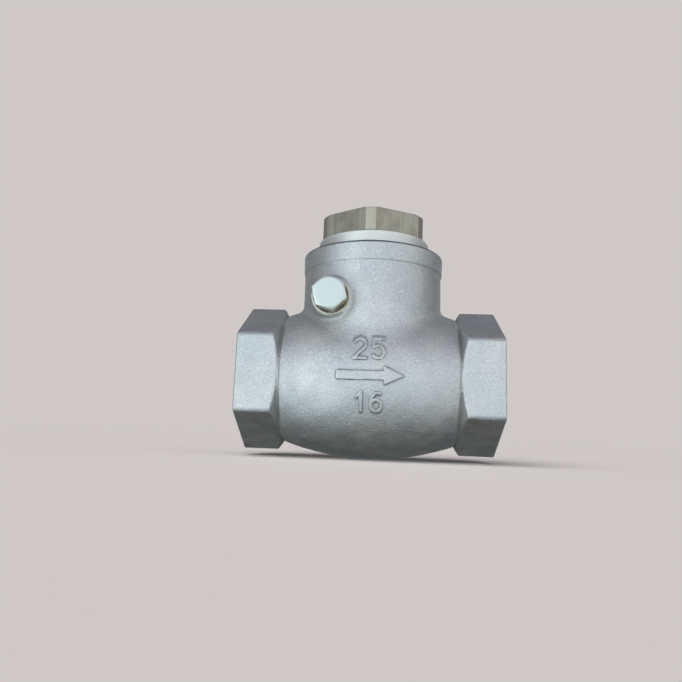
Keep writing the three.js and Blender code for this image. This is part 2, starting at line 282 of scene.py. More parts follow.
# Each numeral is one stroke in a box that is 1 high.
NUMERALS = {
    "1": [(-0.16, 0.76), (0.06, 1), (0.06, 0)],
    "2": [*arc((0, 0.72), (0.28, 0.28), 165, -35), (-0.3, 0), (0.3, 0)],
    "5": [(0.26, 1), (-0.2, 1), (-0.24, 0.56), *arc((0, 0.32), (0.29, 0.32), 125, -145)],
    "6": [
        (0.2, 0.95),
        *arc((0.1, 0.4), (0.39, 0.6), 110, 180),
        *arc((0, 0.3), (0.29, 0.3), 180, 540, steps=16),
    ],
}
MARK_RAISE = 0.55
MARKS_OFF = 9.0  # lifts the marks clear of the metal on the back of the belly
STROKE = 0.52  # half width
SPACING = 0.88  # between numerals, in their own height
MARKS = [("25", 4.0, 5.6), ("16", -10.2, 5.0)]  # text, height of its base line, numeral height
ARROW_HEIGHT = -0.65
ARROW_TAIL = -8.6
ARROW_NECK = 5  # where the shaft ends inside the head
ARROW_BARB = 4.1
ARROW_TIP = 9.9
ARROW_SHAFT = 1.0  # half width
ARROW_GROWTH = 0.35  # added all round the shaft, which rounds its corners
ARROW_SLOPE = math.atan2(2.8, 5.9)  # half width of the head over its length


def numeral_distance(u, v):
    nearest = np.inf
    for text, base, height in MARKS:
        for index, numeral in enumerate(text):
            shift = (index - (len(text) - 1) / 2) * height * SPACING
            points = [(shift + a * height, base + b * height) for a, b in NUMERALS[numeral]]
            for start, end in zip(points, points[1:]):
                nearest = np.minimum(nearest, segment_distance(u, v, start, end))
    return nearest - STROKE


def arrow_distance(u, v):
    v = np.abs(v - ARROW_HEIGHT)
    shaft = both(v - ARROW_SHAFT, np.maximum(ARROW_TAIL - u, u - ARROW_NECK), round_off=0.4)
    slanted = (u - ARROW_TIP) * math.sin(ARROW_SLOPE) + v * math.cos(ARROW_SLOPE)
    head = both(slanted, ARROW_BARB - u, round_off=0.2)
    return either(shaft - ARROW_GROWTH, head)


def marks_distance(x, z):
    return np.minimum(arrow_distance(x, z), numeral_distance(x, z))


# ---- the casting -------------------------------------------------------------

def casting_waves(x, y, z):
    """Faint unevenness of a sand casting's skin: two crossing sets of waves, 7 to 10 mm long."""
    waves = np.sin(0.53 * x + 0.31 * y + 0.7) * np.sin(0.41 * y - 0.47 * z + 1.9)
    waves = waves + 0.6 * np.sin(0.83 * z + 0.37 * x + 0.4) * np.sin(0.71 * x - 0.59 * y)
    return WAVE_HEIGHT * (waves + 1.2)


def belly(x, y, z, middle_radius):
    return np.hypot(x, np.hypot(y, z) + BELLY_ARC - middle_radius) - BELLY_ARC


def hex_end(x, y, z, side):
    along = side * x
    inner = HALF_LENGTH - END_LENGTH
    bar = hexagon(y, z, END_FLATS, round_off=0.9)
    cone = turned_chamfer(np.hypot(y, z), -along, END_CROWN, -inner)
    return both(bar, cone, round_off=0.35)


def cast_outside(x, y, z):
    barrel = belly(x, y, z, BELLY_RADIUS)
    skin = barrel + np.where(y < 0, 0.0, MARKS_OFF) - MARK_RAISE
    marks = both(marks_distance(x, z), skin, round_off=0.3)
    barrel = either(barrel, marks, fillet=0.2)
    barrel = both(barrel, np.abs(x) - BELLY_END, round_off=0.7)
    from_axis = np.hypot(x, y)
    neck = cylinder(NECK_RADIUS, from_axis, z, 0, COLLAR_BOTTOM + 1)
    from_pin = np.hypot(x - PIN[0], z - PIN[2])
    boss = cylinder(BOSS_RADIUS, from_pin, -y, BOSS_ROOT, BOSS_FACE, round_off=0.7)
    rear_boss = cylinder(REAR_BOSS_RADIUS, from_pin, y, BOSS_ROOT, REAR_BOSS_FACE, round_off=0.5)
    neck = either(either(neck, boss, fillet=1.2), rear_boss, fillet=1.5)
    whole = either(barrel, neck, fillet=1.6)
    whole = whole + casting_waves(x, y, z)
    flare = (z - COLLAR_BOTTOM) * COLLAR_FLARE
    side = COLLAR_RADIUS - COLLAR_INSET
    collar = cylinder(side, from_axis - flare, z, COLLAR_BOTTOM, NECK_TOP + 1, round_off=0.3)
    chamfer = (from_axis - COLLAR_RADIUS + z - NECK_TOP + COLLAR_CHAMFER) * math.sqrt(0.5)
    collar = both(collar, chamfer, round_off=0.15)
    whole = either(whole, collar, fillet=0.35)
    ends = np.minimum(hex_end(x, y, z, 1), hex_end(x, y, z, -1))
    root = cylinder(END_CROWN, np.hypot(y, z), np.abs(x), 0, HALF_LENGTH - END_LENGTH + 1)
    return either(whole, either(ends, root), fillet=0.5)


def machined_faces(x, y, z):
    """The planes that the casting is faced off to: both ends and the top of the collar."""
    return np.maximum(np.abs(x) - HALF_LENGTH, z - NECK_TOP)


def socket(x, y, z, side):
    """A pipe socket, as a solid to take away. Its thread's ridges are added later."""
    depth = HALF_LENGTH - side * x
    return both(np.hypot(y, z) - PIPE_MAJOR, depth - SOCKET_DEPTH)


def inner_space(x, y, z):
    radius = np.hypot(y, z)
    barrel = belly(x, y, z, BELLY_RADIUS - WALL)
    closing = (radius - CHAMBER_BACK_RADIUS + x - CHAMBER_BACK) * math.sqrt(0.5)
    barrel = both(barrel, closing, round_off=2)
    barrel = both(barrel, np.maximum(CHAMBER_FRONT - x, x - CHAMBER_BACK), round_off=1.5)
    from_axis = np.hypot(x, y)
    neck_bore = cylinder(NECK_BORE, from_axis, z, NECK_BORE_BOTTOM, CAP_BORE_BOTTOM, round_off=1)
    cap_bore = both(from_axis - CAP_MAJOR, CAP_BORE_BOTTOM - 1 - z)
    space = either(either(barrel, neck_bore, fillet=1.5), cap_bore, fillet=0.3)
    outlet = cylinder(OUTLET_PORT, radius, x, 0, HALF_LENGTH)
    return either(space, outlet, fillet=0.6)


def flap_coordinates(x, y, z):
    """The flap's own coordinates: along the stud's axis, across and up, from the pin's axis."""
    u = (x - PIN[0]) * math.cos(SEAT_TILT) + (z - PIN[2]) * math.sin(SEAT_TILT)
    w = -(x - PIN[0]) * math.sin(SEAT_TILT) + (z - PIN[2]) * math.cos(SEAT_TILT)
    return u, y, w


def body_distance(x, y, z):
    solid = both(cast_outside(x, y, z), machined_faces(x, y, z), round_off=0.35)
    solid = both(solid, -inner_space(x, y, z), round_off=0.3)
    from_pin = np.hypot(x - PIN[0], z - PIN[2])
    lugs = cylinder(LUG_RADIUS, from_pin, np.abs(y), LUG_INNER, LUG_OUTER, round_off=0.4)
    lugs = both(lugs, np.hypot(x, y) - NECK_RADIUS + 1)
    solid = either(solid, lugs, fillet=0.8)
    u, v, w = flap_coordinates(x, y, z)
    from_stud = np.hypot(v, w + ARM_LENGTH)
    lip = cylinder(SEAT_RADIUS, from_stud, u, SEAT_FACE - SEAT_LIP, SEAT_FACE, round_off=0.25)
    solid = either(solid, lip, fillet=0.5)
    inlet = cylinder(INLET_PORT, np.hypot(y, z), x, -HALF_LENGTH, SEAT_BORE_END)
    lip_bore = cylinder(INLET_PORT, from_stud, x, CHAMBER_FRONT, SEAT_BORE_END)
    solid = both(solid, -either(inlet, lip_bore))
    solid = both(solid, -np.minimum(socket(x, y, z, 1), socket(x, y, z, -1)))
    plug_hole = cylinder(PLUG_HOLE, from_pin, -y, BOSS_FACE - PLUG_HOLE_DEPTH, BOSS_FACE + 1)
    pin_hole = cylinder(PIN_BORE, from_pin, y, -BOSS_FACE, PIN_HIGH[1] + PIN_END_GAP)
    return both(solid, -np.minimum(plug_hole, pin_hole), round_off=0.15)


# ---- meshing -----------------------------------------------------------------

GRADIENT_STEP = 0.02  # mm
HOLD = 0.05  # how strongly a vertex is held to the middle of its crossings
OVERHANG = 0.05  # how far a vertex may leave its cell, in cells
SHARP = 38  # degrees between faces from which an edge is shaded sharp


def gradient(distance, points):
    """Slope of a distance at points."""
    slopes = []
    for axis in range(3):
        nudge = np.zeros(3)
        nudge[axis] = GRADIENT_STEP
        ahead = distance(*(points + nudge).T)
        behind = distance(*(points - nudge).T)
        slopes.append((ahead - behind) / (2 * GRADIENT_STEP))
    return np.stack(slopes, axis=1)


def surface_crossings(values, axes, axis):
    """Grid edges along an axis that cross the surface: where, their four cells, and their sense."""
    second, third = (axis + 1) % 3, (axis + 2) % 3
    lower = np.take(values, range(values.shape[axis] - 1), axis)
    upper = np.take(values, range(1, values.shape[axis]), axis)
    index = np.array(np.nonzero((lower < 0) != (upper < 0)))
    start = lower[tuple(index)]
    share = start / (start - upper[tuple(index)])
    step = axes[0][1] - axes[0][0]
    points = np.stack([axes[k][index[k]] for k in range(3)], axis=1)
    points[:, axis] += share * step
    cells = []
    for back_second, back_third in ((1, 1), (0, 1), (0, 0), (1, 0)):
        corner = index.copy()
        corner[second] -= back_second
        corner[third] -= back_third
        cells.append(np.ravel_multi_index(tuple(corner), values.shape))
    return points, np.stack(cells, axis=1), start < 0


def contour(distance, low, high, step):
    """Dual contouring: vertices and quads where the distance is zero, with sharp edges kept."""
    axes = [np.arange(a - 1.6 * step, b + 2 * step, step) for a, b in zip(low, high)]
    values = distance(*np.meshgrid(*axes, indexing="ij", sparse=True))
    points, quads = [], []
    for axis in range(3):
        crossing, cells, leaving = surface_crossings(values, axes, axis)
        cells[~leaving] = cells[~leaving][:, ::-1]
        points.append(crossing)
        quads.append(cells)
    points, quads = np.concatenate(points), np.concatenate(quads)
    normals = gradient(distance, points)
    normals /= np.linalg.norm(normals, axis=1, keepdims=True) + 1e-9
    cells, owner = np.unique(quads, return_inverse=True)
    owner = owner.reshape(quads.shape)
    count = len(cells)
    origin = np.array([a[0] for a in axes])
    corners = origin + np.stack(np.unravel_index(cells, values.shape), axis=1) * step

    def gather(amount):
        return sum(np.bincount(owner[:, k], amount, count) for k in range(4))

    share = gather(np.ones(len(points)))
    centre = np.stack([gather(points[:, k]) / share for k in range(3)], axis=1)
    matrix = np.empty((count, 3, 3))
    for i in range(3):
        for j in range(i, 3):
            matrix[:, i, j] = matrix[:, j, i] = gather(normals[:, i] * normals[:, j])
    reach = np.einsum("ij,ij->i", normals, points)
    target = np.stack([gather(normals[:, k] * reach) for k in range(3)], axis=1)
    target -= np.einsum("nij,nj->ni", matrix, centre)
    matrix += HOLD * np.eye(3) * share[:, None, None]
    vertices = centre + np.linalg.solve(matrix, target[:, :, None])[:, :, 0]
    margin = OVERHANG * step
    vertices = np.clip(vertices, corners - margin, corners + step + margin)
    return vertices, owner


def lathe(outline, segments):
    """Vertices and faces of a closed outline of (radius, along) points turned about +X."""
    outline = np.array(outline, float)
    on_axis = outline[:, 0] < 1e-6
    angles = np.linspace(0, 2 * math.pi, segments, endpoint=False)
    vertices, rows = [], []
    for (radius, along), single in zip(outline, on_axis):
        start = len(vertices)
        if single:
            vertices.append((along, 0, 0))
            rows.append([start] * segments)
        else:
            vertices += [(along, radius * math.cos(t), radius * math.sin(t)) for t in angles]
            rows.append(list(range(start, start + segments)))
    faces = []
    for one, two in zip(rows, rows[1:] + rows[:1]):
        if one[0] == one[-1] and two[0] == two[-1]:
            continue
        for k in range(segments):
            after = (k + 1) % segments
            corners = [one[k], one[after], two[after], two[k]]
            faces.append(list(dict.fromkeys(corners)))
    return np.array(vertices), faces


def thread_ridge(pitch, start, end, crest, root, mouth=None, segments=72):
    """A right-hand thread's helical ridge about +X, from root (just inside the wall) to crest.

    It fades in and out over a quarter turn. mouth(along) gives a radius that it may not reach inside.
    """
    turns = (end - start) / pitch - 1
    count = int(turns * segments)
    rise = np.array([(-0.46, 0), (-0.1, 1), (0.1, 1), (0.46, 0)])  # in pitches across and heights up
    steps = np.arange(count + 1)
    angles = steps * 2 * math.pi / segments
    fade = np.clip(np.minimum(steps, count - steps) / (segments / 4), 0, 1)[:, None]
    along = start + pitch * (0.5 + (steps / segments)[:, None] + rise[None, :, 0])
    radius = root + (crest - root) * rise[None, :, 1] * fade
    if mouth:
        radius = np.maximum(radius, mouth(along))
    angles = angles[:, None]
    points = np.stack([along, radius * np.cos(angles), radius * np.sin(angles)], axis=2)
    width = len(rise)
    faces = [list(range(width)), list(range(count * width, (count + 1) * width))[::-1]]
    for step in range(count):
        for k in range(width):
            one, two = step * width + k, step * width + (k + 1) % width
            faces.append([one, one + width, two + width, two])
    return points.reshape(-1, 3), faces


def bevelled(outline, size, steps=3):
    """An outline with each of its corners off the axis rounded by a small arc."""
    outline = [np.array(point, float) for point in outline]
    result = []
    count = len(outline)
    for k, point in enumerate(outline):
        before, after = outline[k - 1], outline[(k + 1) % count]
        if point[0] < 1e-6:
            result.append(point)
            continue
        to_before, to_after = before - point, after - point
        reach_before, reach_after = np.linalg.norm(to_before), np.linalg.norm(to_after)
        reach = min(size, 0.45 * reach_before, 0.45 * reach_after)
        start = point + to_before / reach_before * reach
        end = point + to_after / reach_after * reach
        for share in np.linspace(0, 1, steps + 1):
            result.append((1 - share) ** 2 * start + 2 * share * (1 - share) * point + share**2 * end)
    return result


def make_mesh(name, vertices, faces, sharp=SHARP):
    """A shaded Blender object from vertices in millimetres. Faces are lists, or an array of quads."""
    mesh = bpy.data.meshes.new(name)
    if isinstance(faces, np.ndarray):
        mesh.vertices.add(len(vertices))
        mesh.vertices.foreach_set("co", (np.asarray(vertices) * MM).astype(np.float32).ravel())
        mesh.loops.add(faces.size)
        mesh.loops.foreach_set("vertex_index", faces.astype(np.int32).ravel())
        mesh.polygons.add(len(faces))
        mesh.polygons.foreach_set("loop_start", np.arange(0, faces.size, 4, dtype=np.int32))
        mesh.update(calc_edges=True)
        mesh.validate()
    else:
        mesh.from_pydata([tuple(v * MM) for v in vertices], [], faces)
    mesh.polygons.foreach_set("use_smooth", [True] * len(mesh.polygons))
    mesh.set_sharp_from_angle(angle=math.radians(sharp))
    thing = bpy.data.objects.new(name, mesh)
    bpy.context.scene.collection.objects.link(thing)
    return thing


def thin_out(thing, triangle_budget):
    """Collapses a mesh to a number of triangles, and applies that."""
    triangles = sum(len(p.vertices) - 2 for p in thing.data.polygons)
    if triangles <= triangle_budget:
        return
    modifier = thing.modifiers.new("thin", "DECIMATE")
    modifier.ratio = triangle_budget / triangles
    depsgraph = bpy.context.evaluated_depsgraph_get()
    thinned = bpy.data.meshes.new_from_object(thing.evaluated_get(depsgraph))
    thing.modifiers.clear()
    thing.data = thinned


def outward(vertices, faces):
    """The faces, turned round if the closed surface they make faces inwards."""
    volume = 0.0
    for face in faces:
        first = vertices[face[0]]
        for one, two in zip(face[1:], face[2:]):
            volume += np.dot(first, np.cross(vertices[one], vertices[two]))
    return faces if volume > 0 else [face[::-1] for face in faces]


def add_ridge(thing, turn, centre, *sizes, **options):
    """Adds a thread's ridge to a piece. Its root is sunk into the piece's wall."""
    vertices, faces = thread_ridge(*sizes, **options)
    vertices = vertices @ np.array(turn.to_3x3()).T + np.array(centre)
    ridge = make_mesh("ridge", vertices, outward(vertices, faces), sharp=30)
    joined = bmesh.new()
    joined.from_mesh(thing.data)
    joined.from_mesh(ridge.data)
    joined.to_mesh(thing.data)
    joined.free()
    bpy.data.objects.remove(ridge)


def place(thing, body, slot, node, *materials):
    """Gives a piece its materials and the body it rides on, and hides the CAD node it stands for. slot
    is not used.
    """
    for material in materials:
        thing.data.materials.append(material)
    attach(thing, body)
    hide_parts(node)


# ---- materials ---------------------------------------------------------------

COLLAR_EDGE_SHADE_COLOR = (0.13, 0.15, 0.18)  # painted shade along the collar's top edge


class Finish:
    """A Principled material with helpers for its node tree. Lengths are in metres."""

    def __init__(self, name, color, roughness, metallic=1.0):
        self.material = bpy.data.materials.new(name)
        self.material.use_nodes = True
        self.tree = self.material.node_tree
        self.shader = self.tree.nodes["Principled BSDF"]
        self.shader.inputs["Metallic"].default_value = metallic
        self.shader.inputs["Base Color"].default_value = (*color, 1)
        self.shader.inputs["Roughness"].default_value = roughness
        self.position = self.add("ShaderNodeTexCoord").outputs["Object"]

    def add(self, kind, **settings):
        node = self.tree.nodes.new(kind)
        for key, value in settings.items():
            setattr(node, key, value)
        return node

    def join(self, output, entry):
        self.tree.links.new(output, entry)

    def noise(self, size, detail=3.0, stretch=(1, 1, 1), position=None):
        """Noise with features about size across, longer along an axis whose stretch is below 1."""
        mapping = self.add("ShaderNodeMapping")
        mapping.inputs["Scale"].default_value = stretch
        self.join(position or self.position, mapping.inputs["Vector"])
        node = self.add("ShaderNodeTexNoise")
        node.inputs["Scale"].default_value = 1 / size
        node.inputs["Detail"].default_value = detail
        self.join(mapping.outputs["Vector"], node.inputs["Vector"])
        return node.outputs["Fac"]

    def around(self, axis, centre=ORIGIN):
        """Coordinates of (distance from an axis, place along it, 0). centre is in millimetres."""
        moved = self.add("ShaderNodeMapping")
        moved.inputs["Location"].default_value = tuple(-c * MM for c in centre)
        self.join(self.position, moved.inputs["Vector"])
        split = self.add("ShaderNodeSeparateXYZ")
        self.join(moved.outputs["Vector"], split.inputs["Vector"])
        others = [name for name in "XYZ" if name != axis]
        squares = [self.math("MULTIPLY", split.outputs[name], split.outputs[name]) for name in others]
        radius = self.math("SQRT", self.math("ADD", *squares))
        merge = self.add("ShaderNodeCombineXYZ")
        self.join(radius, merge.inputs["X"])
        self.join(split.outputs[axis], merge.inputs["Y"])
        return merge.outputs["Vector"]

    def math(self, operation, *values):
        node = self.add("ShaderNodeMath", operation=operation)
        for entry, value in zip(node.inputs, values):
            if isinstance(value, (int, float)):
                entry.default_value = value
            else:
                self.join(value, entry)
        return node.outputs["Value"]

    def ramp(self, factor, low, high, start=0.0, end=1.0):
        """Remaps a factor from start..end to the range low..high."""
        node = self.add("ShaderNodeMapRange")
        for name, value in (("From Min", start), ("From Max", end), ("To Min", low), ("To Max", high)):
            node.inputs[name].default_value = value
        self.join(factor, node.inputs["Value"])
        return node.outputs["Result"]

    def blend(self, factor, first, second):
        """A colour between two colours, each a tuple or a socket."""
        node = self.add("ShaderNodeMix", data_type="RGBA")
        self.join(factor, node.inputs["Factor"])
        for entry, value in ((node.inputs[6], first), (node.inputs[7], second)):
            if isinstance(value, tuple):
                entry.default_value = (*value, 1)
            else:
                self.join(value, entry)
        return node.outputs[2]

    def crease_shade(self, reach):
        """Painted shade mask: 0 deep in a crease, 1 on open surface. The metal within reach metres
        counts.
        """
        node = self.add("ShaderNodeAmbientOcclusion", samples=6)
        node.inputs["Distance"].default_value = reach
        return node.outputs["AO"]

    def edges(self, reach):
        """0 on a sharp outer edge, 1 away from it."""
        node = self.add("ShaderNodeAmbientOcclusion", samples=6, inside=True)
        node.inputs["Distance"].default_value = reach
        return node.outputs["AO"]

    def collar_edge_shade(self):
        """1 on the collar's top edge, where a dark line of shade is painted, 0 elsewhere."""
        split = self.add("ShaderNodeSeparateXYZ")
        self.join(self.around("Z"), split.inputs["Vector"])
        side, top = COLLAR_RADIUS * MM, NECK_TOP * MM
        outer = self.ramp(split.outputs["X"], 0, 0.85, side - 0.00075, side - 0.0006)
        upper = self.ramp(split.outputs["Y"], 0, 1, top - 0.0008, top - 0.0006)
        return self.math("MULTIPLY", outer, upper)

    def color(self, output):
        self.join(output, self.shader.inputs["Base Color"])

    def roughness(self, output):
        self.join(output, self.shader.inputs["Roughness"])

    def relief(self, *layers):
        """Stacks bumps, each a (height output, height in metres)."""
        normal = None
        for height, depth in layers:
            bump = self.add("ShaderNodeBump")
            bump.inputs["Distance"].default_value = depth
            self.join(height, bump.inputs["Height"])
            if normal:
                self.join(normal, bump.inputs["Normal"])
            normal = bump.outputs["Normal"]
        self.join(normal, self.shader.inputs["Normal"])


def cast_brass():
    """Sandblasted casting: matte grain, cloudy tone, bright on its edges, with painted shade in its
    creases.
    """
    finish = Finish("cast_brass", (0.72, 0.74, 0.70), 0.42)
    clouds = finish.noise(0.012, 4)
    tone = finish.blend(finish.ramp(clouds, 0, 1, 0.35, 0.65), (0.66, 0.70, 0.70), (0.77, 0.775, 0.75))
    grain = finish.noise(0.00042, 3)
    tone = finish.blend(finish.ramp(grain, 0, 0.55, 0.42, 0.7), tone, (0.48, 0.49, 0.48))
    specks = finish.noise(0.0016, 2)
    tone = finish.blend(finish.ramp(specks, 0, 0.22, 0.62, 0.8), tone, (0.42, 0.41, 0.38))
    tone = finish.blend(finish.ramp(finish.edges(0.0006), 0.7, 0, 0.1, 0.6), tone, (0.86, 0.86, 0.80))
    glints = finish.noise(0.0007, 2)
    tone = finish.blend(finish.ramp(glints, 0, 0.6, 0.58, 0.74), tone, (0.94, 0.94, 0.91))
    # Painted shade: darker in creases and hollows, first widely and then closely round them.
    tone = finish.blend(finish.ramp(finish.crease_shade(0.005), 0.6, 0, 0.4, 0.95), tone, (0.33, 0.33, 0.31))
    tone = finish.blend(finish.ramp(finish.crease_shade(0.0015), 0.6, 0, 0.35, 0.9), tone, (0.27, 0.26, 0.22))
    # Painted shade: a dark line along the collar's top edge.
    finish.color(finish.blend(finish.collar_edge_shade(), tone, COLLAR_EDGE_SHADE_COLOR))
    finish.roughness(finish.ramp(finish.noise(0.004, 3), 0.43, 0.52, 0.3, 0.7))
    finish.relief((finish.noise(0.0022, 2), 0.00005), (grain, 0.0001))
    return finish.material


def machined_brass():
    """Turned brass: fine rings about the pipe's axis, as on the end faces and in the threads."""
    finish = Finish("machined_brass", (0.70, 0.67, 0.56), 0.32)
    rings = finish.noise(0.00025, 2, position=finish.around("X"))
    tone = finish.blend(finish.ramp(rings, 0, 1, 0.35, 0.65), (0.64, 0.61, 0.50), (0.73, 0.70, 0.59))
    stains = finish.noise(0.006, 4)
    tone = finish.blend(finish.ramp(stains, 0, 0.4, 0.5, 0.8), tone, (0.42, 0.37, 0.27))
    # Painted shade: darker in hollows and in the threads' roots.
    tone = finish.blend(finish.ramp(finish.crease_shade(0.003), 0.7, 0, 0.35, 0.9), tone, (0.20, 0.18, 0.13))
    # Painted shade: a dark line along the collar's top edge.
    finish.color(finish.blend(finish.collar_edge_shade(), tone, COLLAR_EDGE_SHADE_COLOR))
    finish.roughness(finish.ramp(rings, 0.26, 0.42, 0.3, 0.7))
    finish.relief((rings, 0.00003))
    return finish.material


def turned_brass(name, axis, centre, color, roughness, groove=0.86):
    """Bright turned brass with rings about one axis. The darkest rings are groove times as bright."""
    finish = Finish(name, color, roughness)
    rings = finish.noise(0.0003, 3, position=finish.around(axis, centre))
    dark = tuple(groove * c for c in color)
    finish.color(finish.blend(finish.ramp(rings, 0, 1, 0.35, 0.65), dark, color))
    finish.roughness(finish.ramp(rings, roughness - 0.05, roughness + 0.08, 0.3, 0.7))
    finish.relief((rings, 0.00003))
    return finish.material


def brushed_brass():
    """The cap's hexagon: olive brass with drawn lines along Z and a cloudy tarnish."""
    finish = Finish("brushed_brass", (0.42, 0.40, 0.31), 0.4)
    lines = finish.noise(0.0006, 3, (1, 1, 0.03))
    tone = finish.blend(finish.ramp(lines, 0, 1, 0.3, 0.7), (0.42, 0.40, 0.32), (0.53, 0.51, 0.42))
    tone = finish.blend(finish.ramp(finish.edges(0.0008), 0.8, 0, 0.1, 0.6), tone, (0.74, 0.72, 0.62))
    stains = finish.noise(0.005, 3)
    finish.color(finish.blend(finish.ramp(stains, 0, 0.6, 0.45, 0.7), tone, (0.27, 0.25, 0.19)))
    finish.roughness(finish.ramp(lines, 0.34, 0.5, 0.3, 0.7))
    finish.relief((lines, 0.00005))
    return finish.material


def tumbled_brass():
    """The hinge arm and the disc's hardware: rougher, tumbled brass."""
    finish = Finish("tumbled_brass", (0.66, 0.60, 0.42), 0.38)
    clouds = finish.noise(0.003, 4)
    tarnish = finish.ramp(clouds, 0, 1, 0.35, 0.65)
    finish.color(finish.blend(tarnish, (0.58, 0.52, 0.35), (0.70, 0.65, 0.47)))
    finish.roughness(finish.ramp(clouds, 0.32, 0.45, 0.3, 0.7))
    finish.relief((finish.noise(0.0005, 3), 0.00003))
    return finish.material


def pin_steel():
    """Drawn steel: fine lines along Y."""
    finish = Finish("pin_steel", (0.6, 0.61, 0.62), 0.28)
    lines = finish.noise(0.0003, 2, (1, 0.05, 1))
    shine = finish.ramp(lines, 0, 1, 0.35, 0.65)
    finish.color(finish.blend(shine, (0.52, 0.53, 0.54), (0.66, 0.67, 0.68)))
    finish.roughness(finish.ramp(lines, 0.22, 0.34, 0.3, 0.7))
    finish.relief((lines, 0.00002))
    return finish.material


def gasket_fibre():
    """Dark pressed fibre, layered along Z."""
    finish = Finish("gasket_fibre", (0.15, 0.13, 0.12), 0.85, 0.0)
    fibres = finish.noise(0.0012, 5, (1, 1, 3))
    mottle = finish.ramp(fibres, 0, 1, 0.3, 0.7)
    finish.color(finish.blend(mottle, (0.10, 0.09, 0.08), (0.20, 0.18, 0.16)))
    finish.roughness(finish.ramp(fibres, 0.75, 0.95, 0.3, 0.7))
    finish.relief((fibres, 0.00008))
    return finish.material


def seal_rubber():
    """Matte black rubber."""
    finish = Finish("seal_rubber", (0.02, 0.02, 0.022), 0.6, 0.0)
    skin = finish.noise(0.0015, 4)
    bloom = finish.ramp(skin, 0, 1, 0.3, 0.7)
    finish.color(finish.blend(bloom, (0.014, 0.014, 0.016), (0.032, 0.032, 0.034)))
    finish.roughness(finish.ramp(skin, 0.5, 0.7, 0.3, 0.7))
    finish.relief((skin, 0.00004))
    return finish.material


CAST = cast_brass()
MACHINED = machined_brass()
BRUSHED = brushed_brass()
BRIGHT_CAP = turned_brass("turned_cap_brass", "Z", ORIGIN, (0.94, 0.95, 0.90), 0.5)
TURNED_CORNERS = turned_brass("turned_corner_brass", "Z", ORIGIN, (0.60, 0.56, 0.45), 0.4)
BRIGHT_PLUG = turned_brass("turned_plug_brass", "Y", PIN, (0.75, 0.82, 0.775), 0.36, groove=0.93)
TUMBLED = tumbled_brass()
STEEL = pin_steel()
FIBRE = gasket_fibre()
RUBBER = seal_rubber()


# ---- pieces ------------------------------------------------------------------

# Turns that carry the X axis onto another axis.
ABOUT_X = Matrix.Identity(4)
ABOUT_MINUS_X = Matrix.Rotation(math.pi, 4, "Z")
ABOUT_Y = Matrix.Rotation(math.radians(90), 4, "Z")
ABOUT_Z = Matrix.Rotation(math.radians(-90), 4, "Y")
ABOUT_STUD = Matrix.Rotation(-SEAT_TILT, 4, "Y")


def paint(thing, choose):
    """Gives each face the material whose number choose(centres, normals) returns, in millimetres."""
    mesh = thing.data
    centres = np.empty(len(mesh.polygons) * 3)
    normals = np.empty(len(mesh.polygons) * 3)
    mesh.polygons.foreach_get("center", centres)
    mesh.polygons.foreach_get("normal", normals)
    numbers = choose(centres.reshape(-1, 3) / MM, normals.reshape(-1, 3)).astype(np.int32)
    mesh.polygons.foreach_set("material_index", numbers)


def contoured(name, distance, low, high, step, budget):
    """A piece meshed from its distance, of at most budget triangles."""
    vertices, quads = contour(distance, low, high, step)
    thing = make_mesh(name, vertices, quads)
    thin_out(thing, budget)
    thing.data.set_sharp_from_angle(angle=math.radians(SHARP))
    return thing


NEAR = 0.05  # how far off its surface the middle of a face may lie
FACING = 0.3  # share of a normal from which its face counts as turned towards an axis
BORE_EDGE = 15.4  # just outside the neck's thread


def body_finish(centres, normals):
    """1 where the casting is machined: ends, sockets, the cap's bore, the collar's top, the boss."""
    x, y, z = centres.T
    radius = np.hypot(y, z)
    ends = np.abs(x) > HALF_LENGTH - NEAR
    depth = HALF_LENGTH - np.abs(x)
    sockets = (radius < MOUTH_RADIUS + 4 * NEAR) & (depth < SOCKET_DEPTH + NEAR)
    bore = (np.hypot(x, y) < BORE_EDGE) & (z > CAP_BORE_BOTTOM)
    top = z > NECK_TOP - 2 * NEAR
    boss = (np.hypot(x - PIN[0], z - PIN[2]) < BOSS_RADIUS) & (y < 4 * NEAR - BOSS_FACE)
    return ends | sockets | bore | top | boss


def mouth_radius(along):
    """The radius that a pipe thread's ridge leaves clear: it grows out of the wall behind the mouth."""
    return MOUTH_RADIUS - HALF_LENGTH + along + 3 * SUNK


def add_body():
    body = contoured("valve_casting", body_distance, BODY_LOW, BODY_HIGH, 0.3, budget=180000)
    inner = HALF_LENGTH - PIPE_THREAD
    for turn in (ABOUT_X, ABOUT_MINUS_X):
        add_ridge(
            body, turn, ORIGIN, PIPE_PITCH, inner, HALF_LENGTH, PIPE_MINOR, PIPE_MAJOR + SUNK,
            mouth=mouth_radius,
        )
    low, high = CAP_THREAD
    add_ridge(body, ABOUT_Z, ORIGIN, CAP_PITCH, low, high, CAP_MINOR, CAP_MAJOR + SUNK)
    low, high = PLUG_THREAD
    add_ridge(
        body, ABOUT_Y, PIN_AXIS, PLUG_PITCH, -high, -low, PLUG_MINOR, PLUG_HOLE + SUNK, segments=36
    )
    paint(body, body_finish)
    place(body, "valve_body", "cast_brass", "body", CAST, MACHINED)


